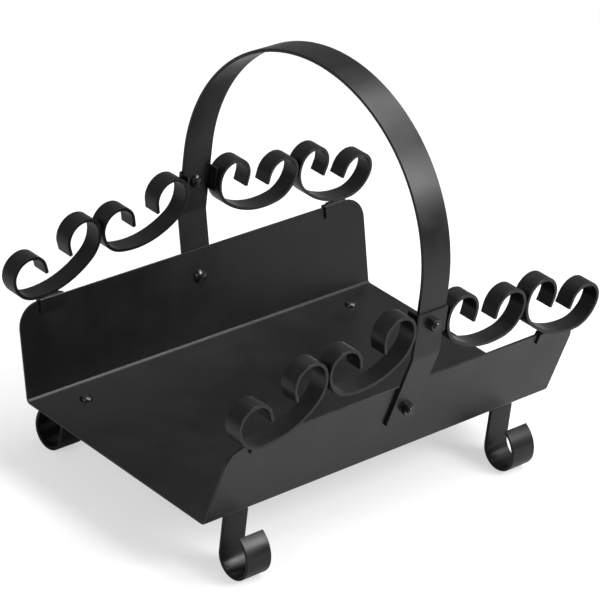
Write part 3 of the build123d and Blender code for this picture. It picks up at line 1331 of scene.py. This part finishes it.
@dataclass
class WeldBeads:
    """The weld beads between scrolls, brackets and clips."""

    curls: BeadKind = BeadKind("weld_curls", (0.0021, 0.0065, 0.0043), 1, 6)
    brackets: BeadKind = BeadKind("weld_brackets", (0.0016, 0.0040, 0.0052), 2, 5)
    clips: BeadKind = BeadKind("weld_clips", (0.0100, 0.0022, 0.0011), 0, 8)
    bracket_lift: float = 0.0003
    clip_lift: float = 0.0001
    lap: float = 1.1
    swell: float = 0.06
    voxel: float = 0.00028

    def bead(self, name: str, kind: BeadKind, middle: Vector) -> Object:
        """Model one bead as overlapping ripples fused into one skin.

        Args:
            name: Name of the bead.
            kind: Its kind.
            middle: Its middle.

        Returns:
            The bead, in place.
        """
        low, high = middle - Vector(kind.half), middle + Vector(kind.half)
        size = high - low
        axis = kind.long_axis
        lumps = []
        for i in range(kind.ripples):
            lump = add_shape(
                bpy.ops.mesh.primitive_uv_sphere_add, segments=24, ring_count=12, radius=0.5
            )
            scale = [width * (1 - self.swell * (i % 3)) for width in size]
            scale[axis] = (1 + self.lap) * size[axis] / (kind.ripples + self.lap)
            centre = (low + high) / 2
            start = low[axis] + scale[axis] / 2
            stop = high[axis] - scale[axis] / 2
            centre[axis] = start + (stop - start) * (i / (kind.ripples - 1))
            place(lump, Matrix.Translation(centre) @ Matrix.Diagonal((*scale, 1)))
            lumps.append(lump)
        only(lumps[0])
        for lump in lumps:
            lump.select_set(True)
        bpy.ops.object.join()
        bead = bpy.context.object
        bead.name = name
        apply_modifier(
            bead, "REMESH", mode="VOXEL", voxel_size=self.voxel, use_smooth_shade=True
        )
        apply_modifier(bead, "SMOOTH", factor=0.5, iterations=3)
        smooth(bead, 60)
        return bead

    def build(self, shop: Workshop, row: ScrollRow, clip: Clip) -> None:
        """Lay every bead.

        Args:
            shop: The workshop.
            row: The scrolls, with the brackets beside them.
            clip: The clips.
        """
        bracket = row.bracket
        across = row.curl_offset * math.cos(row.inner_tilt)
        drop = row.curl_offset * math.sin(row.inner_tilt)
        curl_x = row.centres()[2][0] + across + row.curl_end + row.weld_gap / 2
        bracket_x = bracket.half_width + self.bracket_lift
        spots = {
            self.curls: (curl_x, row.row_y, row.inner_z - drop),
            self.brackets: (bracket_x, bracket.web_y - bracket.depth / 2, row.inner_z + drop),
            self.clips: (clip.centre_x(row), clip.rim[0], row.seat_z + self.clip_lift),
        }
        for kind, (x, y, z) in spots.items():
            middles = [Vector((sign * x, side.sign * y, z)) for side, _, sign in CORNERS]
            beads = [
                self.bead(f"{kind.node}_bead_{number}", kind, middle)
                for number, middle in enumerate(middles, start=1)
            ]
            shop.hand_over_all(beads, Slot.WELDS, kind.node)


# Studio


@dataclass(frozen=True)
class Softbox:
    """One soft area lamp aimed at the object."""

    name: str
    spot: Point
    size: tuple[float, float]
    power: float
    target: Point = (0.0, 0.0, 0.15)

    def build(self) -> None:
        """Add the lamp to the scene."""
        lamp = bpy.data.lights.new(self.name, "AREA")
        lamp.shape = "RECTANGLE"
        lamp.size, lamp.size_y = self.size
        lamp.energy = self.power
        holder = bpy.data.objects.new(self.name, lamp)
        bpy.context.scene.collection.objects.link(holder)
        holder.location = self.spot
        aim = Vector(self.target) - Vector(self.spot)
        holder.rotation_euler = aim.to_track_quat("-Z", "Y").to_euler()


@dataclass
class Studio:
    """Floor, world, lamps and camera."""

    azimuth: float = math.radians(224.39)
    elevation: float = math.radians(28.48)
    roll: float = math.radians(6.71)
    target: Point = (-0.0016, 0.0013, 0.1490)
    distance: float = 2.762
    focal_px: float = 3365.0
    image_px: float = 600.0
    sensor: float = 36.0
    reach: float = 50.0
    floor_size: float = 12.0
    floor_drop: float = 0.0002
    floor_tone: float = 0.50
    floor_glow: float = 0.55
    floor_near: float = 0.35
    floor_far: float = 1.1
    world_light: float = 0.26
    white: float = 1.0

    def build(self) -> None:
        """Set up the whole studio."""
        self._floor()
        self._world()
        for box in (
            Softbox("key_softbox", (0.9, -1.5, 1.5), (1.0, 1.0), 40.0),
            Softbox("top_softbox", (0.7, -0.2, 2.1), (1.4, 1.4), 38.0),
            Softbox("side_softbox", (-2.0, -0.4, 1.3), (0.7, 1.2), 14.0),
        ):
            box.build()
        self._camera()
        bpy.context.scene.view_settings.view_transform = "Standard"

    def _floor(self) -> None:
        """Lay the floor: the camera sees it pale, and plain white further out."""
        floor = add_shape(
            bpy.ops.mesh.primitive_plane_add, size=self.floor_size,
            location=(0, 0, -self.floor_drop),
        )
        floor.name = "studio_floor"
        made = bpy.data.materials.new("pale_floor")
        tree = empty_tree(made)
        camera_ray = add_node(tree, "LightPath", {}).outputs["Is Camera Ray"]
        tone = (self.floor_tone, self.floor_tone, self.floor_tone, 1)
        paint = add_node(tree, "BsdfDiffuse", {"Color": tone})
        glow = add_node(
            tree, "Emission", {"Strength": multiply(tree, camera_ray, self.floor_glow)}
        )
        pale = add_node(
            tree, "AddShader", {0: paint.outputs["BSDF"], 1: glow.outputs["Emission"]}
        )
        white = add_node(tree, "Emission", {"Strength": self.white})
        where = add_node(tree, "TexCoord", {}).outputs["Object"]
        distance = add_node(tree, "VectorMath", {0: where}, operation="LENGTH")
        far = ramp(
            tree, distance.outputs["Value"], self.floor_near, self.floor_far, "SMOOTHSTEP"
        )
        fade = add_node(tree, "MixShader", {
            0: multiply(tree, far, camera_ray),
            1: pale.outputs["Shader"],
            2: white.outputs["Emission"],
        })
        add_node(tree, "OutputMaterial", {"Surface": fade.outputs["Shader"]})
        floor.data.materials.append(made)

    def _world(self) -> None:
        """Make an even surround, which the camera sees as white."""
        world = bpy.data.worlds.new("white_surround")
        bpy.context.scene.world = world
        tree = empty_tree(world)
        path = add_node(tree, "LightPath", {})
        light, seen = (
            add_node(tree, "Background", {"Strength": strength, "Color": (1, 1, 1, 1)})
            for strength in (self.world_light, self.white)
        )
        mix = add_node(tree, "MixShader", {
            0: path.outputs["Is Camera Ray"],
            1: light.outputs["Background"],
            2: seen.outputs["Background"],
        })
        add_node(tree, "OutputWorld", {"Surface": mix.outputs["Shader"]})

    def _camera(self) -> None:
        """Set the camera at the photographed angle."""
        lens = bpy.data.cameras.new("studio_camera")
        lens.sensor_width = self.sensor
        lens.lens = self.focal_px / self.image_px * self.sensor
        lens.clip_end = self.reach
        camera = bpy.data.objects.new("studio_camera", lens)
        bpy.context.scene.collection.objects.link(camera)
        away = Vector((
            math.cos(self.elevation) * math.cos(self.azimuth),
            math.cos(self.elevation) * math.sin(self.azimuth),
            math.sin(self.elevation),
        ))
        spot = Vector(self.target) + away * self.distance
        turn = (-away).to_track_quat("-Z", "Y").to_matrix().to_4x4()
        roll = Matrix.Rotation(self.roll, 4, "Z")
        camera.matrix_world = Matrix.Translation(spot) @ turn @ roll
        bpy.context.scene.camera = camera


def main() -> None:
    """Build every piece of the log holder and its studio."""
    logging.basicConfig(level=logging.INFO, format="%(name)s: %(message)s")
    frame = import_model()
    LOG.info("frame has %d nodes", len(frame["nodes"]))
    shop = Workshop(finishes())
    tray = Tray()
    handle = Handle(tray)
    bracket = Bracket(handle)
    clip = Clip(tray)
    row = ScrollRow(bracket, clip.top_z)
    feet = Feet(tray)
    fasteners = Fasteners()
    large_hole, small_hole = fasteners.large.hole, fasteners.small.hole
    holes = [(handle.leg_bolt_seat(side), large_hole) for side in Side]
    holes += [(feet.bolt_seat(side, sign), small_hole) for side, _, sign in CORNERS]
    tray.build(shop, holes)
    handle.build(shop, large_hole)
    bracket.build(shop, large_hole)
    row.build(shop)
    clip.build(shop, row)
    feet.build(shop, small_hole)
    fasteners.build(shop, bracket, feet)
    WeldBeads().build(shop, row, clip)
    Studio().build()
    LOG.info("%d pieces finished", len(shop.done))


if __name__ == "__main__":
    main()
